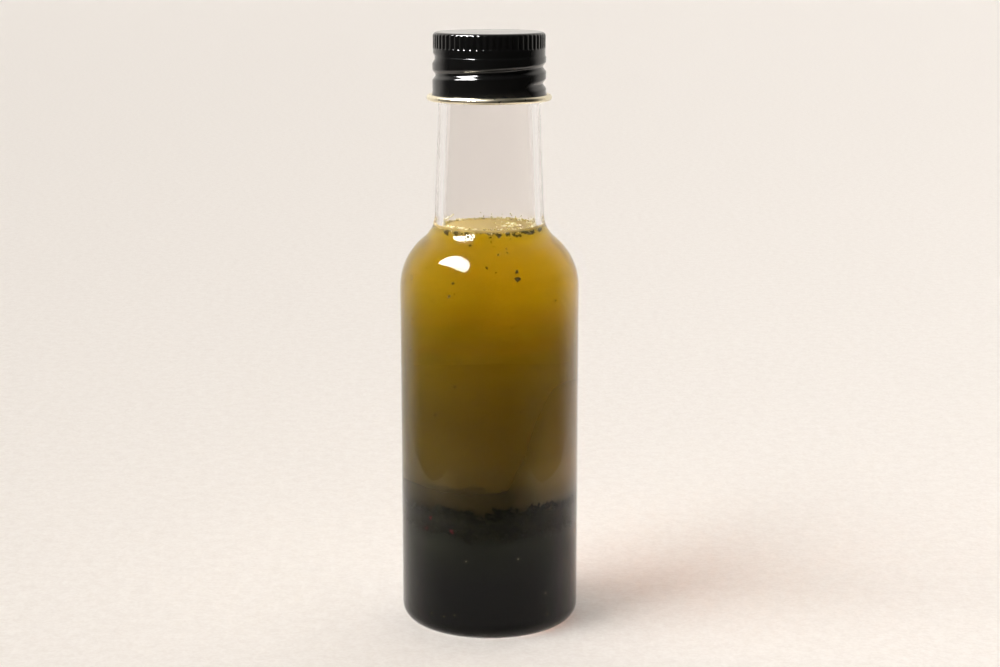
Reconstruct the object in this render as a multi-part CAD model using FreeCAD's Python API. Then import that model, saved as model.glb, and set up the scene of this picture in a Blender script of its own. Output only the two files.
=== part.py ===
import FreeCAD, Part
import math
import os

# A small clear glass bottle of herb dressing with a black screw cap.
# Millimetres, +Z up the bottle's axis, origin at the middle of the resting ring,
# -Y is the front. Azimuths are degrees from the front, positive towards +X.

Vector = FreeCAD.Vector
AXIS_FOOT = Vector(0, 0, 0)
UP = Vector(0, 0, 1)

# ---- Driving dimensions -----------------------------------------------------------------

# Glass body
body_radius = 22.5
body_wall = 2.5
shoulder_foot_height = 86.7      # where the straight wall ends
shoulder_radius = 15.6
heel_radius = 4.0
ring_width = 2.6                 # flat ring that the bottle stands on
pushup_height = 1.0              # hollow under the base
base_thickness = 2.0             # glass over the middle of the hollow
floor_crown = 0.8                # rise of the inner floor at its middle
floor_heel_radius = 2.2

# Glass neck and finish
neck_height = 62.05              # from the shoulder's foot to the sealing land
neck_taper = 2.25                # degrees between the neck's side and the axis
neck_wall = 2.1
neck_fillet_radius = 8.0
finish_radius = 12.52            # neck where the finish starts
finish_height = 14.75
finish_wall = 2.6
bore_blend_height = 4.0
lip_round = 0.8

# Screw thread, shared by the glass bead and the groove rolled into the cap
thread_pitch = 4.1
bead_radius = 0.95               # round bar that stands out of the finish
bead_reach = 0.85                # how far the bead stands out
bead_turns = 1.45
groove_round = 1.15              # radius of the roller's edge
groove_depth = 0.75
groove_turns = 1.79
thread_top_drop = 4.75           # from the sealing land to the thread's upper ends
groove_top_azimuth = -52.0
thread_fade = 48.0               # degrees over which a thread end runs out
path_step = 12.0                 # degrees between the points of a thread's path

# Cap of rolled aluminium sheet
cap_sheet = 0.25
skirt_clearance = 0.28           # between the glass bead and the fluted band
cap_edge_round = 1.0
skirt_bulge = 0.17               # how much wider the rolled skirt is than the fluted band
bulge_top_drop = 4.45            # from the sealing land down to where the skirt widens
bulge_run = 0.9                  # height over which it widens
foot_flare = 0.23                # how much the skirt widens again down to the rolled rim
foot_flare_run = 1.6             # height over which it does
curl_radius = 0.75               # rolled rim
curl_sweep = 320.0               # degrees that the rim is rolled through
curl_drop = 14.75                # from the sealing land down to the middle of the curl
flute_count = 56
flute_radius = 0.62
flute_depth = 0.25
flute_height = 4.15              # down from the cap's top

# Sealing disc in the cap
liner_thickness = 1.0
liner_clearance = 0.1

# Contents
fill_below_land = 46.95          # free height between the land and the oil
herb_top_height = 31.2           # middle height of the herb layer's upper side
herb_layer_thickness = 5.9
herb_tilt = 1.6                  # how much higher the layer's top lies at the front wall
herb_underside_tilt = 0.8        # the same for its underside
herb_wave = 0.6                  # unevenness of the layer's two sides
herb_top_phase = 0.6             # radians that shift the waves, so that the sides differ
herb_underside_phase = 2.2
# Each wave: its share, radians per mm along x, radians per mm along y, multiple of the phase
herb_waves = ((0.45, 0.34, 0.21, 1.0), (0.35, -0.30, 0.55, 2.0), (0.20, 0.78, 0.12, 3.1))
herb_lump_drop = 1.6             # clumps that sag into the vinegar
herb_lump_radius = 4.4
herb_lump_azimuths = (-10.0, 13.0, 74.0, 128.0, 186.0, 247.0)
wave_grid_count = 17
layer_cut_depth = 60.0           # reaches from the herbs to below the bottle's floor

# ---- Sizes that follow ------------------------------------------------------------------

land_height = shoulder_foot_height + neck_height
finish_foot_height = land_height - finish_height
inner_radius = body_radius - body_wall
bore_radius = finish_radius - finish_wall
floor_edge_height = pushup_height + base_thickness - floor_crown
fill_height = land_height - fill_below_land
thread_top_height = land_height - thread_top_drop
cap_top_height = land_height + liner_thickness + cap_sheet
curl_height = land_height - curl_drop
cap_inner_radius = finish_radius + bead_reach + skirt_clearance
cap_radius = cap_inner_radius + cap_sheet
cap_seat_radius = cap_inner_radius - flute_depth
skirt_radius = cap_radius + skirt_bulge
bulge_top_height = land_height - bulge_top_drop
bulge_foot_height = bulge_top_height - bulge_run
flare_top_height = curl_height + foot_flare_run
cap_foot_radius = skirt_radius + foot_flare
curl_centre_radius = cap_foot_radius - cap_sheet + curl_radius


def at_azimuth(radius, azimuth, height):
    """Point round the axis, at an azimuth in degrees from the front."""
    turn = math.radians(azimuth - 90)
    return Vector(radius * math.cos(turn), radius * math.sin(turn), height)


# ---- Profile helpers: points are (radius, height) in the plane y = 0 ---------------------

def point(radius, height):
    return Vector(radius, 0, height)


def line(start, end):
    return Part.LineSegment(start, end).toShape()


def arc(centre, radius, start_angle, end_angle):
    """Arc about a centre, angles in degrees from the radius' outward direction."""
    angles = [start_angle, (start_angle + end_angle) / 2, end_angle]
    places = []
    for angle in angles:
        turn = math.radians(angle)
        places.append(centre + point(radius * math.cos(turn), radius * math.sin(turn)))
    return Part.Arc(*places).toShape()


def crown(half_width, edge_height, rise):
    """Arc from the axis out to half_width that is highest on the axis."""
    radius = (half_width ** 2 + rise ** 2) / (2 * rise)
    half_angle = math.degrees(math.asin(half_width / radius))
    centre = point(0, edge_height + rise - radius)
    return arc(centre, radius, 90, 90 - half_angle)


def angle_of(direction):
    return math.degrees(math.atan2(direction.z, direction.x))


def revolved(edges):
    """Solid of a closed profile turned about the axis."""
    wire = Part.Wire(Part.__sortEdges__(edges))
    return Part.Face(wire).revolve(AXIS_FOOT, UP, 360)


def shoulder_into_neck(arc_radius, fillet_radius, side_offset):
    """Shoulder arc, neck fillet and the neck's side, as edges and the side's top end.

    side_offset moves the neck's side inwards from the glass surface.
    """
    taper = math.radians(neck_taper)
    normal = point(math.cos(taper), math.sin(taper))
    along = point(-math.sin(taper), math.cos(taper))
    side_top = point(finish_radius, finish_foot_height) - normal * side_offset
    centre = point(body_radius - shoulder_radius, shoulder_foot_height)

    # The fillet's centre lies fillet_radius outside the side and outside the shoulder arc.
    offset_top = side_top + normal * fillet_radius
    from_centre = offset_top - centre
    drop = from_centre.dot(along)
    spread = from_centre.dot(normal)
    reach = math.sqrt((arc_radius + fillet_radius) ** 2 - spread ** 2)
    fillet_centre = offset_top - along * (drop - reach)

    meet = angle_of(fillet_centre - centre)
    shoulder = arc(centre, arc_radius, 0, meet)
    fillet = arc(fillet_centre, fillet_radius, meet - 180, neck_taper - 180)
    side = line(fillet_centre - normal * fillet_radius, side_top)
    return [shoulder, fillet, side], side_top


# ---- Glass bottle -----------------------------------------------------------------------

def inner_wall():
    """Edges of the bottle's inside from the middle of the floor up to the bore."""
    floor_half_width = inner_radius - floor_heel_radius
    heel_centre = point(floor_half_width, floor_edge_height + floor_heel_radius)
    rise, bore_foot = shoulder_into_neck(
        shoulder_radius - body_wall, neck_fillet_radius + neck_wall, neck_wall)
    edges = [
        crown(floor_half_width, floor_edge_height, floor_crown),
        arc(heel_centre, floor_heel_radius, -90, 0),
        line(point(inner_radius, heel_centre.z), point(inner_radius, shoulder_foot_height)),
    ]
    return edges + rise, bore_foot


def make_glass_blank():
    """The bottle without its thread."""
    ring_outer = body_radius - heel_radius
    ring_inner = ring_outer - ring_width
    heel_centre = point(ring_outer, heel_radius)
    shoulder, side_top = shoulder_into_neck(shoulder_radius, neck_fillet_radius, 0)
    outside = [
        crown(ring_inner, 0, pushup_height),
        line(point(ring_inner, 0), point(ring_outer, 0)),
        arc(heel_centre, heel_radius, -90, 0),
        line(point(body_radius, heel_radius), point(body_radius, shoulder_foot_height)),
    ]

    round_height = land_height - lip_round
    outer_round = point(finish_radius - lip_round, round_height)
    inner_round = point(bore_radius + lip_round, round_height)
    inside, bore_foot = inner_wall()
    bore_start = point(bore_radius, bore_foot.z + bore_blend_height)
    finish = [
        line(side_top, point(finish_radius, round_height)),
        arc(outer_round, lip_round, 0, 90),
        line(point(outer_round.x, land_height), point(inner_round.x, land_height)),
        arc(inner_round, lip_round, 90, 180),
        line(point(bore_radius, round_height), bore_start),
        line(bore_start, bore_foot),
    ]
    floor_top = point(0, floor_edge_height + floor_crown)
    seam = line(point(0, pushup_height), floor_top)
    return revolved(outside + shoulder + finish + inside + [seam])


def thread_bar(bar_radius, centre_radius, runout, top_azimuth, turns):
    """Round bar wound down a right-hand helix that moves by runout in radius at both ends."""
    sweep = 360.0 * turns
    count = round(sweep / path_step)
    places = []
    for index in range(count + 1):
        passed = sweep * index / count
        nearest_end = min(passed, sweep - passed)
        ease = 0.5 + 0.5 * math.cos(math.pi * min(nearest_end / thread_fade, 1.0))
        radius = centre_radius + runout * ease
        height = thread_top_height - thread_pitch * passed / 360
        places.append(at_azimuth(radius, top_azimuth - passed, height))
    curve = Part.BSplineCurve()
    curve.interpolate(places)
    ring = Part.Circle(places[0], curve.tangent(curve.FirstParameter)[0], bar_radius)
    sweep_along = Part.BRepOffsetAPI.MakePipeShell(Part.Wire(curve.toShape()))
    sweep_along.setBiNormalMode(UP)
    sweep_along.add(Part.Wire(ring.toShape()))
    sweep_along.build()
    sweep_along.makeSolid()
    return Part.Solid(sweep_along.shape())


def make_bottle_glass():
    """Bottle with its thread bead.

    The bead and the cap's groove end at one height, half a turn apart, so that each lies
    midway between the other's turns.
    """
    bead = thread_bar(
        bead_radius,
        finish_radius + bead_reach - bead_radius,
        -bead_reach,
        groove_top_azimuth - 180,
        bead_turns)
    return make_glass_blank().fuse(bead)


# ---- Cap --------------------------------------------------------------------------------

def curl_section():
    """Sheet rolled outwards and back round to the skirt, as a face."""
    centre = point(curl_centre_radius, curl_height)
    inside_radius = curl_radius - cap_sheet
    end_turn = math.radians(180 + curl_sweep)
    direction = point(math.cos(end_turn), math.sin(end_turn))
    edges = [
        arc(centre, curl_radius, 180, 180 + curl_sweep),
        line(centre + direction * curl_radius, centre + direction * inside_radius),
        arc(centre, inside_radius, 180, 180 + curl_sweep),
        line(centre - point(curl_radius, 0), centre - point(inside_radius, 0)),
    ]
    return Part.Face(Part.Wire(Part.__sortEdges__(edges)))


def make_cap_outside():
    """The cap as a full round block with its rounded top edge and wider skirt."""
    edge_centre = point(cap_radius - cap_edge_round, cap_top_height - cap_edge_round)
    edges = [
        line(point(0, curl_height), point(cap_foot_radius, curl_height)),
        line(point(cap_foot_radius, curl_height), point(skirt_radius, flare_top_height)),
        line(point(skirt_radius, flare_top_height), point(skirt_radius, bulge_foot_height)),
        line(point(skirt_radius, bulge_foot_height), point(cap_radius, bulge_top_height)),
        line(point(cap_radius, bulge_top_height), point(cap_radius, edge_centre.z)),
        arc(edge_centre, cap_edge_round, 0, 90),
        line(point(edge_centre.x, cap_top_height), point(0, cap_top_height)),
        line(point(0, cap_top_height), point(0, curl_height)),
    ]
    return revolved(edges)


def make_cap_inside():
    """The hollow of the cap: one sheet inside the skirt and behind the flutes' floors."""
    seat_foot = cap_top_height - flute_height - cap_sheet
    ceiling = cap_top_height - cap_sheet
    foot_radius = cap_foot_radius - cap_sheet
    wall_radius = skirt_radius - cap_sheet
    edges = [
        line(point(0, curl_height), point(foot_radius, curl_height)),
        line(point(foot_radius, curl_height), point(wall_radius, flare_top_height)),
        line(point(wall_radius, flare_top_height), point(wall_radius, bulge_foot_height)),
        line(point(wall_radius, bulge_foot_height), point(cap_inner_radius, bulge_top_height)),
        line(point(cap_inner_radius, bulge_top_height), point(cap_inner_radius, seat_foot)),
        line(point(cap_inner_radius, seat_foot), point(cap_seat_radius, seat_foot)),
        line(point(cap_seat_radius, seat_foot), point(cap_seat_radius, ceiling)),
        line(point(cap_seat_radius, ceiling), point(0, ceiling)),
        line(point(0, ceiling), point(0, curl_height)),
    ]
    return revolved(edges)


def groove_bar(bar_radius):
    """Bar along the rolled groove; a thicker one gives the ridge inside the sheet."""
    return thread_bar(
        bar_radius,
        skirt_radius - groove_depth + groove_round,
        groove_depth,
        groove_top_azimuth,
        groove_turns)


def make_flutes():
    """Upright flutes round the cap's top, each with a round foot."""
    centre_radius = cap_radius - flute_depth + flute_radius
    foot = cap_top_height - flute_height + flute_radius
    column = Part.makeCylinder(flute_radius, flute_height, point(centre_radius, foot), UP)
    flute = column.fuse(Part.makeSphere(flute_radius, point(centre_radius, foot)))
    flutes = []
    for index in range(flute_count):
        copy = flute.copy()
        copy.rotate(AXIS_FOOT, UP, 360.0 * index / flute_count)
        flutes.append(copy)
    return Part.makeCompound(flutes)


def make_screw_cap():
    block = make_cap_outside().cut(groove_bar(groove_round))
    hollow = make_cap_inside().cut(groove_bar(groove_round + cap_sheet))
    curl = curl_section().revolve(AXIS_FOOT, UP, 360)
    return block.cut(make_flutes()).cut(hollow).fuse(curl)


def make_cap_liner():
    radius = cap_seat_radius - liner_clearance
    return Part.makeCylinder(radius, liner_thickness, point(0, land_height), UP)


# ---- Contents ---------------------------------------------------------------------------

def make_contents():
    """Everything inside the glass up to the oil's level."""
    edges, bore_foot = inner_wall()
    edges.append(line(bore_foot, point(0, bore_foot.z)))
    edges.append(line(point(0, bore_foot.z), point(0, floor_edge_height + floor_crown)))
    level = Part.makeCylinder(body_radius, fill_height)
    return revolved(edges).common(level)


def wave(x, y, phase):
    """Uneven height of a settled layer, in parts of herb_wave."""
    return sum(share * math.sin(along_x * x + along_y * y + multiple * phase)
               for share, along_x, along_y, multiple in herb_waves)


def lumps(x, y):
    """How far the clumps sag below the layer, from 0 to 1."""
    total = 0.0
    for azimuth in herb_lump_azimuths:
        away = Vector(x, y, 0) - at_azimuth(inner_radius, azimuth, 0)
        total += math.exp(-(away.Length / herb_lump_radius) ** 2)
    return total


def under_surface(height_at):
    """Solid below an uneven surface whose height is height_at(x, y)."""
    reach = body_radius
    step = 2 * reach / (wave_grid_count - 1)
    rows = []
    for i in range(wave_grid_count):
        x = -reach + step * i
        rows.append([Vector(x, -reach + step * j, height_at(x, -reach + step * j))
                     for j in range(wave_grid_count)])
    surface = Part.BSplineSurface()
    surface.interpolate(rows)
    return surface.toShape().extrude(UP * -layer_cut_depth)


def herb_top(x, y):
    level = herb_top_height - herb_tilt * y / inner_radius
    return level + herb_wave * wave(x, y, herb_top_phase)


def herb_bottom(x, y):
    level = herb_top_height - herb_layer_thickness - herb_underside_tilt * y / inner_radius
    wavy = level + herb_wave * wave(x, y, herb_underside_phase)
    return wavy - herb_lump_drop * lumps(x, y)


def make_contents_layers():
    """Vinegar below, the settled herbs between, oil above."""
    contents = make_contents()
    below_herbs = under_surface(herb_bottom)
    below_oil = under_surface(herb_top)
    vinegar = contents.common(below_herbs)
    herbs = contents.common(below_oil).cut(below_herbs)
    oil = contents.cut(below_oil)
    return vinegar, herbs, oil


# ---- Nodes ------------------------------------------------------------------------------

def write_node(name, shape):
    solids = shape.Solids
    if len(solids) != 1 or not solids[0].isValid():
        raise ValueError(f"{name} is not one sound solid: {len(solids)} solids")
    solids[0].exportStep(f"parts/{name}.step")
    print(f"{name}: {solids[0].Volume / 1000:.3f} cm3, {len(solids[0].Faces)} faces")


def main():
    os.makedirs("parts", exist_ok=True)
    vinegar, herbs, oil = make_contents_layers()
    write_node("bottle_glass", make_bottle_glass())
    write_node("screw_cap", make_screw_cap())
    write_node("cap_liner", make_cap_liner())
    write_node("oil", oil)
    write_node("herb_layer", herbs)
    write_node("vinegar", vinegar)


main()
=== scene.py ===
import math
import random

import bpy
from mathutils import Matrix, Vector


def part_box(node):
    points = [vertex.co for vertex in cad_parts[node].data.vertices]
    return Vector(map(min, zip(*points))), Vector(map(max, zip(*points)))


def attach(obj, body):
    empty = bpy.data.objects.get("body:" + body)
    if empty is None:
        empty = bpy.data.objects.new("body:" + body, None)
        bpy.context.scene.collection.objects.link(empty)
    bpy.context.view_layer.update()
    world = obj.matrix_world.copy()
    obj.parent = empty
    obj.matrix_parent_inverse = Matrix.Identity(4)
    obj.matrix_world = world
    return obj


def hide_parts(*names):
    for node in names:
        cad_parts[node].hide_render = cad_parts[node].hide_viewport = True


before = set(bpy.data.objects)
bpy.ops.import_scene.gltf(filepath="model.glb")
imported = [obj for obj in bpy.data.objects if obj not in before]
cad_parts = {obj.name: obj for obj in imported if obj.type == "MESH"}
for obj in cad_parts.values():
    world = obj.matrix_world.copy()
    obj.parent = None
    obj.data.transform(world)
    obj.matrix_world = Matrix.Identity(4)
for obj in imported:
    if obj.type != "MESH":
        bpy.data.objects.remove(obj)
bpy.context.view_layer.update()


# ---- Glass bottle ------------------------------------------------------------------------
# A small round bottle blown in clear glass, with a straight wall, a full round shoulder and
# a long tapered neck. It stands on a narrow ring round a shallow hollow. Two thin upright
# seams are left where the halves of the mould met.

mm = 0.001
glass_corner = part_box("bottle_glass")[1]
body_radius = glass_corner.x
land_height = glass_corner.z

body_wall = 2.5 * mm
shoulder_foot = 86.7 * mm
shoulder_radius = 15.6 * mm
heel_radius = 4.0 * mm
ring_width = 2.6 * mm
pushup_height = 1.0 * mm
floor_edge = 2.2 * mm
floor_crown = 0.8 * mm
floor_heel = 2.2 * mm
neck_taper = math.radians(2.25)
neck_wall = 2.1 * mm
neck_fillet = 8.0 * mm
side_stops = (0.03, 0.5, 0.97, 1.0)     # rings up the neck's side, as shares of its length
finish_radius = 12.52 * mm
finish_foot = land_height - 14.75 * mm
finish_wall = 2.6 * mm
bore_blend = 4.0 * mm
lip_round = 0.8 * mm
edge_room = 0.6 * mm             # rings stand this far from where a wall starts to curve
ring_room = 0.4 * mm
lip_room = 0.3 * mm
glass_segments = 192
seam_azimuths = (9.0, 189.0)
seam_half_width = 1.6            # degrees
seam_height = 0.07 * mm
on_axis = 0.01 * mm              # nearer than this a point counts as on the axis
merge_distance = 0.001 * mm


def arc_points(centre, radius, start, end, steps):
    """Points (radius, height) along an arc, angles in degrees, both ends included."""
    points = []
    for step in range(steps + 1):
        turn = math.radians(start + (end - start) * step / steps)
        points.append((centre[0] + radius * math.cos(turn), centre[1] + radius * math.sin(turn)))
    return points


def crown_points(half_width, edge, rise, steps):
    """A shallow dome from its rim in to a small ring round the axis."""
    radius = (half_width ** 2 + rise ** 2) / (2 * rise)
    half_angle = math.degrees(math.asin(half_width / radius))
    centre = (0.0, edge + rise - radius)
    near_axis = half_angle / (steps + 1)
    return arc_points(centre, radius, 90 - half_angle, 90 - near_axis, steps)


def shoulder_points(arc_radius, fillet_radius, side_offset):
    """Shoulder, neck fillet and the top of the neck's side, set in by side_offset."""
    normal = Vector((math.cos(neck_taper), math.sin(neck_taper)))
    along = Vector((-math.sin(neck_taper), math.cos(neck_taper)))
    side_top = Vector((finish_radius, finish_foot)) - normal * side_offset
    centre = Vector((body_radius - shoulder_radius, shoulder_foot))
    offset_top = side_top + normal * fillet_radius
    drop = (offset_top - centre).dot(along)
    spread = (offset_top - centre).dot(normal)
    reach = math.sqrt((arc_radius + fillet_radius) ** 2 - spread ** 2)
    fillet_centre = offset_top - along * (drop - reach)
    towards = fillet_centre - centre
    meet = math.degrees(math.atan2(towards.y, towards.x))
    points = arc_points(centre, arc_radius, 0, meet, 18)
    fillet_end = math.degrees(neck_taper) - 180
    points += arc_points(fillet_centre, fillet_radius, meet - 180, fillet_end, 10)[1:]
    foot = Vector(points[-1])
    for share in side_stops:
        points.append(tuple(foot.lerp(side_top, share)))
    return points


def inner_wall_points(grow):
    """The bottle's inside from the floor's middle up to the bore, moved out by grow."""
    inner = body_radius - body_wall + grow
    floor_half = inner - floor_heel
    points = crown_points(floor_half, floor_edge - grow, floor_crown, 8)[::-1]
    heel_centre = (floor_half, floor_edge - grow + floor_heel)
    points += arc_points(heel_centre, floor_heel, -90, 0, 10)[1:]
    points.append((inner, heel_centre[1] + edge_room))
    points.append((inner, shoulder_foot - edge_room))
    points += shoulder_points(
        shoulder_radius - body_wall + grow, neck_fillet + neck_wall - grow, neck_wall - grow)
    return points


def deselect():
    bpy.ops.object.select_all(action="DESELECT")


def turned(name, rings, segments, first_pole=False, last_pole=False, closed=False):
    """A round piece: a circle drawn up and down through the rings (radius, height)."""
    deselect()
    radius, height = rings[0]
    bpy.ops.mesh.primitive_circle_add(
        vertices=segments, radius=radius, location=(0, 0, height),
        fill_type="TRIFAN" if first_pole else "NOTHING")
    piece = bpy.context.object
    piece.name = name
    bpy.ops.object.transform_apply(location=True, rotation=True, scale=True)
    bpy.ops.object.mode_set(mode="EDIT")
    bpy.ops.mesh.select_mode(type="EDGE")
    bpy.ops.mesh.select_all(action="SELECT")
    if first_pole:
        bpy.ops.mesh.region_to_loop()
    for next_radius, next_height in rings[1:]:
        bpy.ops.mesh.extrude_edges_move(
            TRANSFORM_OT_translate={"value": (0, 0, next_height - height)})
        ratio = next_radius / radius
        bpy.ops.transform.resize(value=(ratio, ratio, 1), center_override=(0, 0, 0))
        radius, height = next_radius, next_height
    if last_pole:
        bpy.ops.mesh.extrude_edges_move(TRANSFORM_OT_translate={"value": (0, 0, 0)})
        bpy.ops.mesh.merge(type="CENTER")
    bpy.ops.mesh.select_all(action="SELECT")
    if closed:
        bpy.ops.mesh.remove_doubles(threshold=merge_distance)
    bpy.ops.mesh.normals_make_consistent(inside=False)
    bpy.ops.object.mode_set(mode="OBJECT")
    bpy.ops.object.shade_smooth()
    return piece


def move_radially(piece, shift):
    """Moves each point in or out by shift(azimuth, radius, height), azimuth from the front."""
    for vertex in piece.data.vertices:
        x, y, z = vertex.co
        radius = math.hypot(x, y)
        if radius < on_axis:
            continue
        azimuth = math.degrees(math.atan2(x, -y))
        factor = 1 + shift(azimuth, radius, z) / radius
        vertex.co = (x * factor, y * factor, z)


ring_outer = body_radius - heel_radius
ring_inner = ring_outer - ring_width
bore_radius = finish_radius - finish_wall
round_height = land_height - lip_round
inside = inner_wall_points(0.0)
outside = crown_points(ring_inner, 0.0, pushup_height, 8)[::-1]
outside += [(ring_inner + ring_room, 0.0), (ring_outer - ring_room, 0.0)]
outside += arc_points((ring_outer, heel_radius), heel_radius, -90, 0, 12)
outside += [(body_radius, heel_radius + edge_room), (body_radius, shoulder_foot - edge_room)]
outside += shoulder_points(shoulder_radius, neck_fillet, 0.0)
lip = [(finish_radius, round_height - lip_room)]
lip += arc_points((finish_radius - lip_round, round_height), lip_round, 0, 90, 6)
lip += arc_points((bore_radius + lip_round, round_height), lip_round, 90, 180, 6)
lip += [(bore_radius, round_height - lip_room), (bore_radius, inside[-1][1] + bore_blend)]
bottle = turned(
    "bottle", outside + lip + inside[::-1], glass_segments, first_pole=True, last_pole=True)


def seam_rise(azimuth, radius, height):
    """The mould's seams stand out of the outer wall between heel and neck."""
    if radius < body_radius - body_wall / 2 and height < shoulder_foot:
        return 0.0
    rise = 0.0
    for seam in seam_azimuths:
        away = abs((azimuth - seam + 180) % 360 - 180)
        if away < seam_half_width:
            rise = seam_height * (1 - away / seam_half_width)
    return rise


class Socket:
    """An output of a shader node; arithmetic on it adds Math nodes."""

    def __init__(self, tree, output):
        self.tree = tree
        self.output = output

    def math(self, operation, *others):
        return add_node(self.tree, "ShaderNodeMath", {"operation": operation}, [self, *others])

    def __add__(self, other):
        return self.math("ADD", other)

    def __sub__(self, other):
        return self.math("SUBTRACT", other)

    def __mul__(self, other):
        return self.math("MULTIPLY", other)

    def __truediv__(self, other):
        return self.math("DIVIDE", other)

    def __pow__(self, other):
        return self.math("POWER", other)

    def __rsub__(self, other):
        return add_node(self.tree, "ShaderNodeMath", {"operation": "SUBTRACT"}, [other, self])

    def __rtruediv__(self, other):
        return add_node(self.tree, "ShaderNodeMath", {"operation": "DIVIDE"}, [other, self])

    __radd__ = __add__
    __rmul__ = __mul__

    def clamped(self):
        return add_node(self.tree, "ShaderNodeClamp", {}, [self, 0.0, 1.0])

    def between(self, low, high):
        """0 below low, 1 above high, smooth between."""
        settings = {"interpolation_type": "SMOOTHSTEP"}
        return add_node(self.tree, "ShaderNodeMapRange", settings, [self, low, high, 0.0, 1.0])


def add_node(tree, kind, settings, inputs, output=0):
    """Adds a node, sets it, and fills its inputs (a list, or a dict by name)."""
    node = tree.nodes.new(kind)
    for key, value in settings.items():
        if key == "stops":
            ramp = node.color_ramp
            while len(ramp.elements) < len(value):
                ramp.elements.new(0.5)
            for element, (place, colour) in zip(ramp.elements, value):
                element.position = place
                element.color = (*colour, 1.0)
        else:
            setattr(node, key, value)
    pairs = inputs.items() if isinstance(inputs, dict) else enumerate(inputs)
    for key, value in pairs:
        if isinstance(value, Socket):
            tree.links.new(value.output, node.inputs[key])
        elif value is not None:
            node.inputs[key].default_value = value
    return Socket(tree, node.outputs[output]) if node.outputs else None


def new_material(name):
    """An empty node material and its tree."""
    material = bpy.data.materials.new(name)
    material.use_nodes = True
    material.node_tree.nodes.clear()
    return material, material.node_tree


def finish_material(tree, surface, volume=None):
    inputs = {"Surface": surface, "Volume": volume}
    add_node(tree, "ShaderNodeOutputMaterial", {}, inputs)


def object_place(tree):
    return add_node(tree, "ShaderNodeTexCoord", {}, [], "Object")


def split(tree, vector):
    """The three parts of a vector, as sockets."""
    first = add_node(tree, "ShaderNodeSeparateXYZ", {}, [vector])
    return [Socket(tree, part) for part in first.output.node.outputs]


def noise(tree, vector, scale, detail=2.0, roughness=0.5):
    inputs = {"Vector": vector, "Scale": scale, "Detail": detail, "Roughness": roughness}
    return add_node(tree, "ShaderNodeTexNoise", {}, inputs, "Fac")


def blend_colours(tree, factor, first, second):
    """A colour between two, each a socket or three numbers."""
    first, second = (
        colour if isinstance(colour, Socket) else (*colour, 1.0) for colour in (first, second))
    inputs = {0: factor, 6: first, 7: second}
    return add_node(tree, "ShaderNodeMix", {"data_type": "RGBA"}, inputs, 2)


def grey_ramp(tree, factor, stops):
    """A grey that changes along the factor, from (place, level) pairs."""
    colours = [(place, (level, level, level)) for place, level in stops]
    return add_node(tree, "ShaderNodeValToRGB", {"stops": colours}, [factor])


def bump(tree, height, strength, distance):
    inputs = {"Height": height, "Strength": strength, "Distance": distance}
    return add_node(tree, "ShaderNodeBump", {}, inputs, "Normal")


def let_light_through(tree, surface, tint):
    """Lamps shine through the surface with a tint, as through real glass."""
    clear = add_node(tree, "ShaderNodeBsdfTransparent", {}, {"Color": (*tint, 1.0)})
    is_shadow = add_node(tree, "ShaderNodeLightPath", {}, [], "Is Shadow Ray")
    return add_node(tree, "ShaderNodeMixShader", {}, [is_shadow, surface, clear])


move_radially(bottle, seam_rise)

glass, tree = new_material("clear_bottle_glass")
place = object_place(tree)
waves = noise(tree, place, 85.0, 2.0)
surface = add_node(tree, "ShaderNodeBsdfPrincipled", {}, {
    "Base Color": (0.930, 0.912, 0.902, 1.0),
    "Roughness": 0.0,
    "IOR": 1.5,
    "Specular Tint": (0.25, 0.25, 0.25, 1.0),
    "Transmission Weight": 1.0,
    "Normal": bump(tree, waves, 0.25, 0.25 * mm),
})
finish_material(tree, let_light_through(tree, surface, (0.93, 0.93, 0.92)))
bottle.data.materials.append(glass)
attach(bottle, "root")
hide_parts("bottle_glass")


# ---- Vinegar -----------------------------------------------------------------------------
# Dark balsamic vinegar lies at the bottom, nearly black; painted light makes its upper part a
# little green where light gets in at the wall. It is poured in first and settles under
# everything else.

inner_radius = body_radius - body_wall
wall_bite = 0.12 * mm            # how far what fills the glass reaches into its wall
liquid_segments = 144
lid_steps = 14                   # rings between the axis and the wall on a lid
ring_height_gap = 0.1 * mm       # tells a lid's points from those of the next ring
overlap = 0.8 * mm               # how far one layer reaches into the next


def herb_wave(x, y, phase):
    """Gentle waves over the matted herbs, between -1 and 1."""
    first = math.sin(340 * x + 210 * y + phase)
    second = math.sin(550 * y - 300 * x + 2.0 * phase)
    third = math.sin(780 * x + 120 * y + 3.1 * phase)
    return 0.45 * first + 0.35 * second + 0.2 * third


herb_core_top = 32.2 * mm
herb_core_bottom = 27.0 * mm
herb_top_tilt = 1.0 * mm         # how much higher the layer is at the near side
herb_bottom_tilt = 0.3 * mm
herb_wave_height = 0.5 * mm
herb_top_phase = 0.6
herb_bottom_phase = 2.2
# Clumps that sag into the vinegar: azimuth, how far they sag and how wide, in mm
herb_clumps = (
    (-14.0, 2.3, 2.0), (13.0, 1.0, 2.6), (74.0, 1.2, 3.2), (128.0, 1.7, 4.2), (186.0, 1.4, 3.6),
    (247.0, 1.6, 4.2))
herb_dips = ((-6.0, 1.5, 2.6), (-66.0, 1.2, 4.0), (150.0, 1.4, 4.0))


def sag_at(x, y, clumps):
    """How far the clumps pull a side of the herb layer down at a place."""
    total = 0.0
    for azimuth, drop, width in clumps:
        turn = math.radians(azimuth)
        away = math.hypot(x - inner_radius * math.sin(turn), y + inner_radius * math.cos(turn))
        total += drop * mm * math.exp(-(away / (width * mm)) ** 2)
    return total


def herb_top_at(x, y):
    level = herb_core_top - herb_top_tilt * y / inner_radius
    wave = herb_wave_height * herb_wave(x, y, herb_top_phase)
    return level + wave - sag_at(x, y, herb_dips)


def herb_bottom_at(x, y):
    level = herb_core_bottom - herb_bottom_tilt * y / inner_radius
    wave = herb_wave_height * herb_wave(x, y, herb_bottom_phase)
    return level + wave - sag_at(x, y, herb_clumps)


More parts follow.
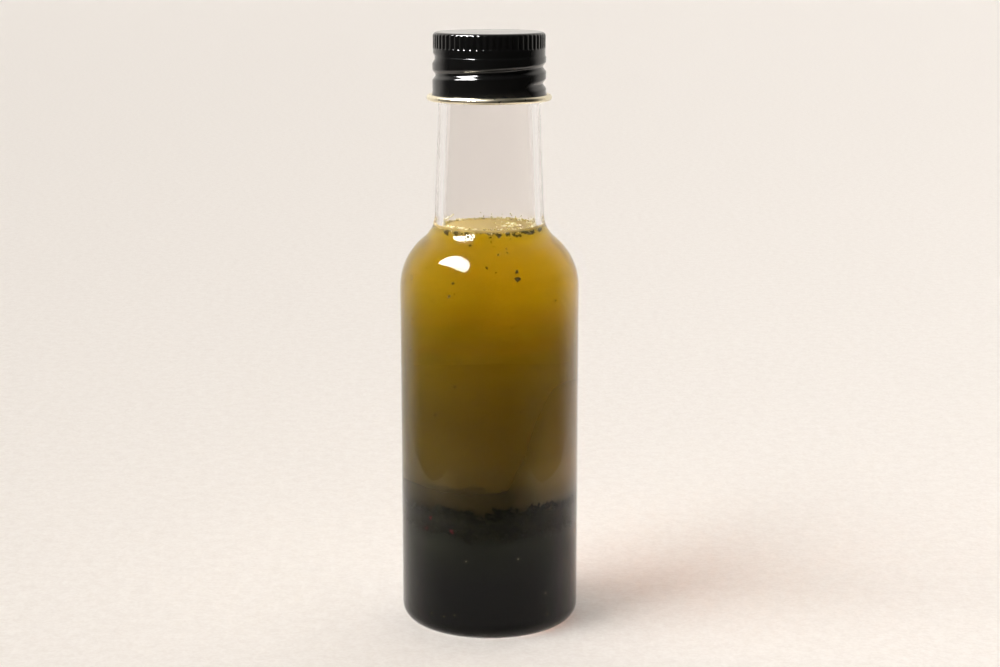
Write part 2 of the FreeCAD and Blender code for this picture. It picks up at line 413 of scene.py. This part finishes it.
def lid_rings(radius, height):
    """Rings that close a filling from its wall in towards the axis."""
    return [(radius * (lid_steps - step) / lid_steps, height) for step in range(1, lid_steps)]


wall_ring = inner_radius + wall_bite
vinegar_lid = 27.0 * mm
lid_sag_room = 6.0 * mm          # left below the lid for the clumps' sag
# Painted shade: the dark vinegar reaches farther into the thick glass base, so that the base's
# glass stays dark.
base_shade_bite = 0.7 * mm             # the filling reaches farther into the thick base
base_heel = floor_heel + base_shade_bite
base_half = wall_ring - base_heel
rings = crown_points(base_half, floor_edge - base_shade_bite, floor_crown, 8)[::-1]
rings += arc_points((base_half, floor_edge - base_shade_bite + base_heel), base_heel, -90, 0, 10)[1:]
rings += [(wall_ring, vinegar_lid - lid_sag_room), (wall_ring, vinegar_lid)]
rings += lid_rings(wall_ring, vinegar_lid)
vinegar = turned("vinegar_pool", rings, liquid_segments, first_pole=True, last_pole=True)
for vertex in vinegar.data.vertices:
    x, y, z = vertex.co
    if z > vinegar_lid - ring_height_gap:
        vertex.co.z = z + herb_bottom_at(x, y) + overlap - vinegar_lid

dark_vinegar, tree = new_material("dark_vinegar")
place = object_place(tree)
x, y, z = split(tree, place)
cloud = noise(tree, place, 140.0, 3.0)
# Painted light: the vinegar's colour turns lighter and greener towards its top.
painted_light_near_top = z.between(0.012, 0.027) * (0.6 + 0.8 * cloud)
surface = add_node(tree, "ShaderNodeBsdfPrincipled", {}, {
    "Base Color": blend_colours(
        tree, painted_light_near_top.clamped(), (0.0050, 0.0052, 0.0048), (0.0112, 0.0120, 0.0078)),
    "Roughness": 0.6,
    "Specular IOR Level": 0.0,
})
finish_material(tree, let_light_through(tree, surface, (0.50, 0.24, 0.08)))
vinegar.data.materials.append(dark_vinegar)
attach(vinegar, "root")
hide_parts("vinegar")


# ---- Herb layer --------------------------------------------------------------------------
# Chopped parsley and oregano, dark with vinegar, have sunk through the oil and lie packed on
# the vinegar. A core of matted leaf carries loose flakes round its edge and on its top, with
# a few flakes of dried red chilli.

herb_mid = (herb_core_top + herb_core_bottom) / 2
rings = [(0.9 * mm, herb_core_bottom)]
rings += [(wall_ring * step / lid_steps, herb_core_bottom) for step in range(1, lid_steps + 1)]
rings += [(wall_ring, herb_mid), (wall_ring, herb_core_top)]
rings += lid_rings(wall_ring, herb_core_top)
herbs = turned("herb_mat", rings, liquid_segments, first_pole=True, last_pole=True)
for vertex in herbs.data.vertices:
    x, y, z = vertex.co
    if z > herb_mid + ring_height_gap:
        vertex.co.z = herb_top_at(x, y)
    elif z < herb_mid - ring_height_gap:
        vertex.co.z = herb_bottom_at(x, y)

wet_herbs, tree = new_material("wet_chopped_herbs")
place = object_place(tree)
patches = noise(tree, place, 700.0, 4.0, 0.6)
veins = noise(tree, place, 2600.0, 2.0)
shade = (patches.between(0.35, 0.7) * 0.8 + veins * 0.3).clamped()
surface = add_node(tree, "ShaderNodeBsdfPrincipled", {}, {
    "Base Color": blend_colours(tree, shade, (0.0046, 0.0045, 0.0037), (0.0165, 0.0162, 0.0088)),
    "Roughness": 0.6,
    "Specular IOR Level": 0.0,
    "Normal": bump(tree, patches, 0.7, 0.6 * mm),
})
finish_material(tree, surface)
herbs.data.materials.append(wet_herbs)
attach(herbs, "root")
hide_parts("herb_layer")


# ---- Oil ---------------------------------------------------------------------------------
# Olive oil fills the bottle from the herbs up into the foot of the neck. It is clear gold at
# the top and cloudy and darker towards the herbs, the darkening partly painted shade, and
# milkier on its right side by painted light. Its surface climbs a little at the wall.

oil_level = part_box("oil")[1].z
meniscus = 0.7 * mm
meniscus_fall = 2.2              # how fast it falls away from the wall, each mm
oil_foot = 32.0 * mm
first_ring = 5.0 * mm            # height of the first ring on the wall above the foot
rings = [(wall_ring * step / lid_steps, oil_foot) for step in range(1, lid_steps + 1)]
rings += [(wall_ring, oil_foot + first_ring), (wall_ring, shoulder_foot - edge_room)]
upper_rings = [ring for ring in inner_wall_points(wall_bite) if ring[1] >= shoulder_foot - 1e-6]
rings += [ring for ring in upper_rings if ring[1] < oil_level + meniscus]
edge_radius = rings[-1][0] - 0.05 * mm
for share in (0.2, 0.45, 0.8, 1.3, 2.0, 3.0):
    climb = meniscus * math.exp(-meniscus_fall * share)
    rings.append((edge_radius - share * mm, oil_level + climb))
rings += [(edge_radius * part / 5, oil_level) for part in (3.2, 2.2, 1.2, 0.5)]
oil = turned("olive_oil", rings, liquid_segments, first_pole=True, last_pole=True)
for vertex in oil.data.vertices:
    x, y, z = vertex.co
    if z < oil_foot + ring_height_gap:
        vertex.co.z = herb_top_at(x, y) - overlap

olive_oil, tree = new_material("olive_oil_clouding_and_painted_shade")
place = object_place(tree)
x, y, z = split(tree, place)
drift = noise(tree, place, 60.0, 2.0)
cloud_drift = 6.0 * mm
cloud_foot = 30.0 * mm
cloud_height = 72.0 * mm
height = z + cloud_drift * (drift - 0.5)
share = ((height - cloud_foot) / cloud_height).clamped()
# Painted shade, partly the oil's own clouding: the clear oil's tint darkens towards the herbs,
# standing in for the shaded table seen through the lower oil.
cloud_and_painted_shade = grey_ramp(tree, share, (
    (0.00, 0.010), (0.07, 0.035), (0.10, 0.070), (0.14, 0.110), (0.24, 0.160), (0.35, 0.185),
    (0.45, 0.250), (0.56, 0.340), (0.66, 0.480), (0.77, 0.710), (0.87, 0.900)))
leaving = add_node(tree, "ShaderNodeNewGeometry", {}, [], "Backfacing")
entering = blend_colours(tree, cloud_and_painted_shade ** 2.0, (0.0, 0.0, 0.0), (1.0, 0.99, 0.95))
murk = grey_ramp(tree, share, (
    (0.02, 0.40), (0.10, 0.18), (0.22, 0.11), (0.45, 0.07), (0.65, 0.02), (0.80, 0.00)))
# Painted light: more cloud on the oil's right side, where the round bottle gathers the key lamp's
# light, makes that side milkier.
painted_light_right_side = 1.0 + 3.5 * x.between(0.004, 0.018)
cloud = add_node(tree, "ShaderNodeBsdfPrincipled", {}, {
    "Base Color": blend_colours(
        tree, share.between(0.02, 0.20), (0.055, 0.048, 0.032), (0.32, 0.235, 0.085)),
    "Roughness": 0.8,
    "Specular IOR Level": 0.0,
})
clear = add_node(tree, "ShaderNodeBsdfPrincipled", {}, {
    "Base Color": blend_colours(tree, leaving, entering, (1.0, 1.0, 1.0)),
    "Roughness": 0.0,
    "IOR": 1.47,
    "Specular Tint": (0.0, 0.0, 0.0, 1.0),
    "Transmission Weight": 1.0,
})
film = z.between(oil_level - 0.4 * mm, oil_level - 0.1 * mm) * 0.7
clouded = (murk * painted_light_right_side + film).clamped()
surface = add_node(tree, "ShaderNodeMixShader", {}, [clouded, clear, cloud])
haze = leaving * share.between(0.35, 0.65) * 0.6
glow = add_node(tree, "ShaderNodeBsdfTranslucent", {}, {"Color": (1.0, 0.98, 0.90, 1.0)})
surface = add_node(tree, "ShaderNodeMixShader", {}, [haze, surface, glow])
absorbs = add_node(tree, "ShaderNodeVolumeAbsorption", {}, {
    "Color": (0.876, 0.799, 0.0, 1.0),
    "Density": 170.0,
})
finish_material(tree, let_light_through(tree, surface, (0.76, 0.46, 0.11)), absorbs)
oil.data.materials.append(olive_oil)
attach(oil, "root")
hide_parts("oil")


# ---- Chopped herbs ------------------------------------------------------------------------
# Small limp bits of chopped leaf. Most lie matted over the herb layer's edge, some hang in the
# oil near the wall, and some float round the oil's edge.


def strew(name, pattern, places):
    """One piece of many copies of a small pattern, each set by its own matrix."""
    corners = [vertex.co.copy() for vertex in pattern.data.vertices]
    faces = [tuple(face.vertices) for face in pattern.data.polygons]
    points, polygons = [], []
    for place in places:
        first = len(points)
        points += [place @ corner for corner in corners]
        polygons += [tuple(first + index for index in face) for face in faces]
    mesh = bpy.data.meshes.new(name)
    mesh.from_pydata(points, [], polygons)
    piece = bpy.data.objects.new(name, mesh)
    bpy.context.collection.objects.link(piece)
    return piece


def against_wall(azimuth, radius, height, size, lean, roll):
    """Where a bit lies flat towards the wall, leaned and rolled by some degrees."""
    turn = Matrix.Rotation(math.radians(azimuth), 4, "Z")
    facing = Matrix.Rotation(math.radians(90 + lean), 4, "X")
    spin = Matrix.Rotation(math.radians(roll), 4, "Z")
    return turn @ Matrix.Translation((0, -radius, height)) @ facing @ spin @ Matrix.Scale(size, 4)


def inner_radius_at(height):
    """Radius of the bottle's inside at a height above the floor's round."""
    for (low_radius, low), (high_radius, high) in zip(inside, inside[1:]):
        if low <= height < high:
            return low_radius + (high_radius - low_radius) * (height - low) / (high - low)
    return bore_radius


deselect()
bpy.ops.mesh.primitive_circle_add(vertices=7, radius=0.5, fill_type="TRIFAN")
leaf = bpy.context.object
leaf.name = "leaf_bit"
for index, vertex in enumerate(leaf.data.vertices):
    x, y, z = vertex.co
    ragged = 1 + 0.3 * math.sin(2.4 * index)
    vertex.co = (1.3 * ragged * x, ragged * y, 0.5 * x * x - 0.3 * y)
leaf_sheet = leaf.modifiers.new("leaf_sheet", "SOLIDIFY")
leaf_sheet.thickness = 0.12
bpy.ops.object.modifier_apply(modifier="leaf_sheet")

chance = random.Random(7)
matted_count = 1100
lower_edge_share = 0.42          # as many again lie along the upper edge
matted = []
for index in range(matted_count):
    azimuth = chance.uniform(-180, 180)
    turn = math.radians(azimuth)
    x, y = inner_radius * math.sin(turn), -inner_radius * math.cos(turn)
    low, high = herb_bottom_at(x, y), herb_top_at(x, y)
    pick = chance.random()
    if pick < lower_edge_share:
        height = low + chance.gauss(0.0, 0.32) * mm
    elif pick < 2 * lower_edge_share:
        height = high + chance.gauss(0.0, 0.42) * mm
    else:
        height = chance.uniform(low, high)
    radius = inner_radius + chance.uniform(0.0, 0.22) * mm
    size = chance.uniform(0.6, 1.5) * mm
    lean = chance.gauss(0, 9)
    matted.append(against_wall(azimuth, radius, height, size, lean, chance.uniform(0, 360)))
herb_bits = strew("herb_bits", leaf, matted)
herb_bits.data.materials.append(wet_herbs)
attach(herb_bits, "root")
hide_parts("herb_layer")

# The largest bits that hang in the oil: azimuth, height and size, in mm
hanging_bits = (
    (-40.0, 57.0, 1.05), (20.6, 91.0, 1.15), (20.8, 92.6, 0.8), (-19.0, 98.0, 0.7),
    (-28.5, 87.0, 0.7), (-67.0, 72.0, 0.8), (37.0, 68.2, 0.7), (-11.0, 40.2, 0.7),
    (-34.0, 40.6, 1.1), (-26.0, 90.0, 0.65), (51.0, 85.2, 0.6), (-64.0, 80.0, 0.65),
    (-1.7, 93.6, 0.55), (8.0, 96.2, 0.5))
adrift_count = 150               # small bits all through the oil
afloat_azimuths = (
    -52.0, -38.0, -27.0, 5.0, 26.0, 37.0, 51.0, 70.0, 104.0, 141.0, 187.0, 230.0, 268.0)
afloat_in_clump = 7
afloat_count = 110               # single bits round the oil's edge
hanging = []
for azimuth, height, size in hanging_bits:
    radius = inner_radius_at(height * mm) - 0.5 * mm
    hanging.append(against_wall(
        azimuth, radius, height * mm, size * mm, chance.gauss(0, 25), chance.uniform(0, 360)))
for index in range(adrift_count):
    height = chance.uniform(36.0, 99.5) * mm
    radius = inner_radius_at(height) - chance.uniform(0.3, 2.5) * mm
    hanging.append(against_wall(
        chance.uniform(-180, 180), radius, height, chance.uniform(0.18, 0.46) * mm,
        chance.gauss(0, 40), chance.uniform(0, 360)))
for azimuth in afloat_azimuths:
    for index in range(afloat_in_clump):
        height = oil_level - chance.uniform(0.1, 1.5) * mm
        radius = inner_radius_at(height) - chance.uniform(0.15, 0.7) * mm
        hanging.append(against_wall(
            azimuth + chance.gauss(0, 3.2), radius, height, chance.uniform(0.45, 1.1) * mm,
            chance.gauss(0, 25), chance.uniform(0, 360)))
for index in range(afloat_count):
    height = oil_level + chance.uniform(-0.6, 0.5) * mm
    radius = inner_radius_at(height) - chance.uniform(0.1, 0.9) * mm
    hanging.append(against_wall(
        chance.uniform(-180, 180), radius, height, chance.uniform(0.2, 0.55) * mm,
        chance.gauss(0, 40), chance.uniform(0, 360)))
herb_specks = strew("herb_specks", leaf, hanging)
dark_herb, tree = new_material("oily_herb_specks")
place = object_place(tree)
tone = noise(tree, place, 900.0, 1.0).between(0.35, 0.65)
finish_material(tree, add_node(tree, "ShaderNodeBsdfPrincipled", {}, {
    "Base Color": blend_colours(tree, tone, (0.014, 0.012, 0.008), (0.050, 0.055, 0.020)),
    "Roughness": 0.5,
}))
herb_specks.data.materials.append(dark_herb)
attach(herb_specks, "root")
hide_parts("herb_layer")


# ---- Chilli flakes ------------------------------------------------------------------------
# A few flakes of dried red chilli lie among the herbs, where they are seen at the wall.

# Azimuth, height and size, in mm
chilli_bits = (
    (-47.3, 27.6, 0.9), (-26.1, 27.9, 1.0), (-43.6, 30.4, 0.8), (96.0, 29.0, 1.2),
    (151.0, 28.0, 1.0), (214.0, 30.0, 1.3), (262.0, 28.4, 0.9))
chilli_bite = 0.32 * mm          # how far they lie into the wall, so that they show
flakes = []
for azimuth, height, size in chilli_bits:
    flakes.append(against_wall(
        azimuth, inner_radius + chilli_bite, height * mm, size * mm, chance.gauss(0, 4),
        chance.uniform(0, 360)))
chilli = strew("chilli_flakes", leaf, flakes)
red_chilli, tree = new_material("dried_red_chilli")
finish_material(tree, add_node(tree, "ShaderNodeBsdfPrincipled", {}, {
    "Base Color": (0.075, 0.012, 0.015, 1.0),
    "Roughness": 0.6,
    "Specular IOR Level": 0.0,
}))
chilli.data.materials.append(red_chilli)
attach(chilli, "root")
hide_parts("herb_layer")
bpy.data.objects.remove(leaf)


# ---- Froth --------------------------------------------------------------------------------
# Shaking has left fine oily bubbles round the oil's edge, a patch of them afloat right of the
# middle, and some stuck higher on the glass at both sides.

deselect()
bpy.ops.mesh.primitive_ico_sphere_add(subdivisions=1, radius=1.0)
bubble = bpy.context.object
bubble.name = "bubble_pattern"


def bubble_at(azimuth, radius, height, size):
    """Where a bubble sits, turned a little so that none look alike."""
    turn = math.radians(azimuth)
    spot = Vector((radius * math.sin(turn), -radius * math.cos(turn), height))
    spin = Matrix.Rotation(5.0 * azimuth, 4, "X")
    return Matrix.Translation(spot) @ spin @ Matrix.Scale(size, 4)


ring_bubbles = 600
# Bubbles on the glass: azimuth of their middle, spread and count
stuck_bubbles = ((-88.0, 13.0, 40), (92.0, 20.0, 60), (150.0, 30.0, 30))
patch_bubbles = 70
patch_middle = (4.9 * mm, 0.5 * mm)
patch_lift = 0.05 * mm
# Single bubbles low on the glass: azimuth and height, in mm
low_bubbles = (
    (-43.6, 5.4), (-32.9, 5.3), (-24.6, 6.1), (41.9, 10.8), (43.6, 5.1), (-58.0, 12.0),
    (20.0, 21.0), (-16.0, 20.5), (120.0, 8.0), (200.0, 6.0))
low_bubble_size = 0.14 * mm
bubbles = []
for index in range(ring_bubbles):
    height = oil_level + chance.uniform(-0.55, 0.75) * mm
    radius = inner_radius_at(height) - chance.uniform(0.1, 0.8) * mm
    azimuth = chance.uniform(-180, 180)
    bubbles.append(bubble_at(azimuth, radius, height, chance.uniform(0.09, 0.26) * mm))
for middle, spread, count in stuck_bubbles:
    for index in range(count):
        height = oil_level + abs(chance.gauss(0.4, 1.0)) * mm
        radius = inner_radius_at(height) - chance.uniform(0.1, 0.5) * mm
        azimuth = chance.gauss(middle, spread)
        bubbles.append(bubble_at(azimuth, radius, height, chance.uniform(0.12, 0.32) * mm))
for index in range(patch_bubbles):
    x = patch_middle[0] + chance.gauss(0, 1.3) * mm
    y = patch_middle[1] + chance.gauss(0, 2.6) * mm
    azimuth = math.degrees(math.atan2(x, -y))
    size = chance.uniform(0.15, 0.42) * mm
    bubbles.append(bubble_at(azimuth, math.hypot(x, y), oil_level + patch_lift, size))
for azimuth, height in low_bubbles:
    bubbles.append(bubble_at(azimuth, wall_ring, height * mm, low_bubble_size))
froth = strew("oil_froth", bubble, bubbles)
bpy.data.objects.remove(bubble)
deselect()
froth.select_set(True)
bpy.context.view_layer.objects.active = froth
bpy.ops.object.shade_smooth()
oily_froth, tree = new_material("oily_froth")
place = object_place(tree)
tone = noise(tree, place, 700.0, 1.0).between(0.4, 0.62)
finish_material(tree, add_node(tree, "ShaderNodeBsdfPrincipled", {}, {
    "Base Color": blend_colours(tree, tone, (0.40, 0.32, 0.07), (0.88, 0.82, 0.58)),
    "Roughness": 0.2,
}))
froth.data.materials.append(oily_froth)
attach(froth, "root")
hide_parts("oil")


# ---- Cap ---------------------------------------------------------------------------------
# A screw cap rolled from thin aluminium sheet and lacquered glossy black outside and gold
# inside. Upright flutes give grip round its top, and the thread is rolled into its skirt.

cap_radius = 13.90 * mm
cap_top = land_height + 1.25 * mm
cap_sheet = 0.25 * mm
cap_edge = 1.0 * mm
rim_centre = (14.8 * mm, land_height - 14.75 * mm)
rim_radius = 0.75 * mm
skirt_bulge = 0.17 * mm          # the rolled skirt is wider than the fluted band
foot_flare = 0.23 * mm           # and widens again down to the rolled rim
flare_run = 1.6 * mm
bulge_top = land_height - 4.55 * mm
bulge_run = 0.4 * mm
cap_top_rings = (12.6, 9.0, 4.0, 0.6)    # radii of the rings on its flat top, in mm
flute_count = 56
steps_per_flute = 6
flute_round = 0.62 * mm
flute_depth = 0.25 * mm
flute_foot = cap_top - 4.15 * mm + flute_round
flute_rises = (0.12, 0.24, 0.36, 0.48, 0.6, 0.75, 1.2, 1.9, 2.6)     # rings up the flutes, mm
groove_top = land_height - 4.75 * mm
groove_top_azimuth = -52.0
groove_pitch = 4.1 * mm
groove_sweep = 644.4             # degrees
groove_fade = 48.0
groove_depth = 0.75 * mm
groove_half_width = 1.45 * mm


def flute_radius_at(azimuth, radius, height):
    """Radius after the flute nearest to this azimuth has been pressed in."""
    spacing = 360.0 / flute_count
    away = (azimuth + spacing / 2) % spacing - spacing / 2
    across = radius * math.sin(math.radians(away))
    below = min(height - flute_foot, 0.0)
    left = flute_round ** 2 - across ** 2 - below ** 2
    if left <= 0:
        return radius
    return min(radius, cap_radius - flute_depth + flute_round - math.sqrt(left))


def groove_at(azimuth, height):
    """How deep the rolled thread is at a place on the skirt."""
    deepest = 0.0
    for turn in (0, 1):
        passed = (groove_top_azimuth - azimuth) % 360 + 360 * turn
        if passed > groove_sweep:
            continue
        end = min(passed, groove_sweep - passed)
        fade = 0.5 - 0.5 * math.cos(math.pi * min(end / groove_fade, 1.0))
        away = abs(height - groove_top + groove_pitch * passed / 360) / groove_half_width
        if away < 1:
            dip = 0.5 + 0.5 * math.cos(math.pi * away)
            deepest = max(deepest, groove_depth * fade * dip)
    return deepest


def roll_cap(azimuth, radius, height):
    """How far the cap's side is moved out of its plain round shape."""
    if radius < cap_radius - cap_edge:
        return 0.0
    fluted = flute_radius_at(azimuth, radius, height)
    widened = min(max((bulge_top - height) / bulge_run, 0.0), 1.0)
    bulge = skirt_bulge * widened * widened * (3 - 2 * widened)
    flare = foot_flare * max(1 - (height - rim_centre[1]) / flare_run, 0.0)
    return fluted - radius + bulge + flare - groove_at(azimuth, height)


rings = []
skirt_steps = 76
skirt_gap = 0.1 * mm             # its top ring lies this far below the flutes
skirt_top = flute_foot - flute_round - skirt_gap
for step in range(skirt_steps + 1):
    rings.append((cap_radius, rim_centre[1] + (skirt_top - rim_centre[1]) * step / skirt_steps))
for rise in flute_rises:
    rings.append((cap_radius, skirt_top + rise * mm))
rings += arc_points((cap_radius - cap_edge, cap_top - cap_edge), cap_edge, 0, 90, 8)
rings += [(radius * mm, cap_top) for radius in cap_top_rings]
cap = turned("screw_cap_shell", rings, flute_count * steps_per_flute, last_pole=True)
move_radially(cap, roll_cap)
deselect()
cap.select_set(True)
bpy.context.view_layer.objects.active = cap
wall = cap.modifiers.new("sheet", "SOLIDIFY")
wall.thickness = cap_sheet
wall.offset = -1.0
wall.material_offset = 1
bpy.ops.object.modifier_apply(modifier="sheet")

black_lacquer, tree = new_material("glossy_black_lacquer")
place = object_place(tree)
peel = noise(tree, place, 1400.0, 2.0)
smear = noise(tree, place, 180.0, 3.0)
surface = add_node(tree, "ShaderNodeBsdfPrincipled", {}, {
    "Base Color": (0.018, 0.018, 0.018, 1.0),
    "Roughness": 0.07 + 0.06 * smear,
    "IOR": 1.5,
    "Normal": bump(tree, peel, 0.12, 0.03 * mm),
})
finish_material(tree, surface)
cap.data.materials.append(black_lacquer)

gold_lacquer, tree = new_material("gold_lacquered_aluminium")
place = object_place(tree)
drawn = noise(tree, place, 900.0, 3.0)
surface = add_node(tree, "ShaderNodeBsdfPrincipled", {}, {
    "Base Color": blend_colours(tree, drawn, (0.80, 0.72, 0.52), (0.88, 0.80, 0.60)),
    "Metallic": 1.0,
    "Roughness": 0.22 + 0.15 * drawn,
})
finish_material(tree, surface)
cap.data.materials.append(gold_lacquer)
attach(cap, "root")
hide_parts("screw_cap")


# ---- Rolled rim --------------------------------------------------------------------------
# The cap's foot is curled outwards and back under, so that the gold inside of the sheet
# shows as a bright bead.

curl_start, curl_end = 180, 500  # degrees
rings = arc_points(rim_centre, rim_radius, curl_start, curl_end, 28)
rings += arc_points(rim_centre, rim_radius - cap_sheet, curl_end, curl_start, 20)
rim = turned("rolled_rim", rings + rings[:1], 168, closed=True)
rim.data.materials.append(gold_lacquer)
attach(rim, "root")
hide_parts("screw_cap")


# ---- Sealing disc ------------------------------------------------------------------------
# A disc of white foamed plastic is pressed into the cap and lies on the bottle's lip.

foam, tree = new_material("white_liner_foam")
place = object_place(tree)
cells = noise(tree, place, 2500.0, 3.0)
surface = add_node(tree, "ShaderNodeBsdfPrincipled", {}, {
    "Base Color": blend_colours(tree, cells, (0.80, 0.79, 0.76), (0.88, 0.87, 0.85)),
    "Roughness": 0.7,
    "Normal": bump(tree, cells, 0.3, 0.05 * mm),
})
finish_material(tree, surface)
liner = bpy.data.objects["cap_liner"]
liner.data.materials.clear()
liner.data.materials.append(foam)


# ---- Table and backdrop ------------------------------------------------------------------
# The bottle stands on a wide pale board with a fine plaster grain that runs back out of
# sight. It is not part of the bottle.

deselect()
board_front = -0.16
board_fade = 0.10                # over which it fades out towards the dark near side
board_depth = 14.0
board_front_width = 0.26
board_back_width = 7.4
bpy.ops.mesh.primitive_grid_add(
    x_subdivisions=1, y_subdivisions=8, size=1.0, location=(0, 0.5, 0))
table = bpy.context.object
table.name = "table_board"
bpy.ops.object.transform_apply(location=True, rotation=True, scale=True)
for vertex in table.data.vertices:
    x, y, z = vertex.co
    width = board_front_width + (board_back_width - board_front_width) * y
    vertex.co = (x * width, board_front + y * board_depth, -0.03 * mm)
board, tree = new_material("pale_plaster_board")
place = object_place(tree)
grain = noise(tree, place, 900.0, 3.0, 0.6)
fleck = noise(tree, place, 260.0, 4.0, 0.7)
pits = noise(tree, place, 420.0, 2.0)
tone = (0.5 * grain + 0.5 * fleck).between(0.3, 0.7)
surface = add_node(tree, "ShaderNodeBsdfDiffuse", {}, {
    "Color": blend_colours(tree, tone, (0.85, 0.81, 0.77), (0.93, 0.90, 0.865)),
    "Roughness": 1.0,
    "Normal": bump(tree, pits, 0.35, 0.4 * mm),
})
x, y, z = split(tree, place)
nothing = add_node(tree, "ShaderNodeBsdfTransparent", {}, {})
here = y.between(board_front, board_front + board_fade)
finish_material(tree, add_node(tree, "ShaderNodeMixShader", {}, [here, nothing, surface]))
table.data.materials.append(board)


# ---- Lamps -------------------------------------------------------------------------------
# One large soft box stands far off to the front left, with a black flag over its lower half. A
# second one in the same place gives the glints, and a weaker one hangs high overhead. The room
# is pale behind and beside the bottle and dark on the near side.

lamp_azimuth = -63.5
lamp_elevation = 40.5
lamp_distance = 60.0
lamp_half_angle = 21.0
lamp_level = 7.5                 # its brightness, where 1 is white
glint_level = 70.0               # its brightness in glossy surfaces
glint_gap = 0.5                  # the second lamp stands this much nearer
flag_gap = 1.0
flag_scale = 1.2
fill_level = 4.4
fill_size = 45.0
turn, rise = math.radians(lamp_azimuth), math.radians(lamp_elevation)
away = Vector((math.sin(turn) * math.cos(rise), -math.cos(turn) * math.cos(rise), math.sin(rise)))
lamp_size = 2 * lamp_distance * math.tan(math.radians(lamp_half_angle))
deselect()
bpy.ops.object.light_add(type="AREA", location=away * lamp_distance)
lamp = bpy.context.object
lamp.name = "key_soft_box"
lamp.rotation_euler = away.to_track_quat("Z", "Y").to_euler()
lamp.data.shape = "DISK"
lamp.data.size = lamp_size
lamp.data.energy = lamp_level * math.pi ** 2 * lamp_size ** 2 / 4
lamp.data.color = (1.0, 0.97, 0.94)

deselect()
bpy.ops.object.light_add(type="AREA", location=away * (lamp_distance - glint_gap))
glint = bpy.context.object
glint.name = "glint_soft_box"
glint.rotation_euler = lamp.rotation_euler
glint.data.shape = "DISK"
glint.data.size = lamp_size
glint.data.energy = glint_level * math.pi ** 2 * lamp_size ** 2 / 4
glint.visible_diffuse = False
glint.visible_transmission = False

deselect()
bpy.ops.object.light_add(type="AREA", location=(0, 9.0, 60.0))
fill = bpy.context.object
fill.name = "fill_soft_box"
fill.data.shape = "SQUARE"
fill.data.size = fill_size
fill.data.energy = fill_level * math.pi * fill_size ** 2
fill.data.color = (1.0, 0.965, 0.93)
fill.visible_glossy = False
fill.visible_transmission = False

deselect()
bpy.ops.mesh.primitive_plane_add(size=1.0, location=(0, -0.5, 0))
flag = bpy.context.object
flag.name = "black_flag"
bpy.ops.object.transform_apply(location=True, rotation=True, scale=True)
facing = away.to_track_quat("Z", "Y").to_matrix().to_4x4()
spot = Matrix.Translation(away * (lamp_distance - flag_gap))
flag.matrix_world = spot @ facing @ Matrix.Scale(flag_scale * lamp_size, 4)
bpy.ops.object.transform_apply(location=True, rotation=True, scale=True)
black_cloth, tree = new_material("black_cloth")
surface = add_node(tree, "ShaderNodeBsdfDiffuse", {}, {"Color": (0.002, 0.002, 0.002, 1.0)})
finish_material(tree, surface)
flag.data.materials.append(black_cloth)

world = bpy.data.worlds.new("pale_room")
bpy.context.scene.world = world
world.use_nodes = True
tree = world.node_tree
tree.nodes.clear()
backdrop = (0.913, 0.864, 0.807, 1.0)
x, y, z = split(tree, add_node(tree, "ShaderNodeTexCoord", {}, [], "Generated"))
level = 0.01 + 0.99 * y.between(0.05, 0.6)
room = add_node(tree, "ShaderNodeBackground", {}, {"Color": backdrop, "Strength": level})
seen = add_node(tree, "ShaderNodeBackground", {}, {"Color": backdrop, "Strength": 1.0})
is_camera = add_node(tree, "ShaderNodeLightPath", {}, [], "Is Camera Ray")
is_refracted = add_node(tree, "ShaderNodeLightPath", {}, [], "Is Transmission Ray")
shown = (is_camera + is_refracted * y.between(-0.35, 0.1)).clamped()
mixed = add_node(tree, "ShaderNodeMixShader", {}, [shown, room, seen])
add_node(tree, "ShaderNodeOutputWorld", {}, {"Surface": mixed})


# ---- Camera ------------------------------------------------------------------------------
# A long lens half a metre away, a little above the bottle's cap and tilted down.

camera_distance = 0.49685
camera_height = 0.17357
camera_offset = 0.00265
camera_drop = 11.3               # degrees below the horizon
deselect()
bpy.ops.object.camera_add(
    location=(camera_offset, -camera_distance, camera_height),
    rotation=(math.radians(90 - camera_drop), 0, 0))
camera = bpy.context.object
camera.data.sensor_width = 36.0
camera.data.lens = 72.0
bpy.context.scene.camera = camera
bpy.context.scene.view_settings.view_transform = "Standard"
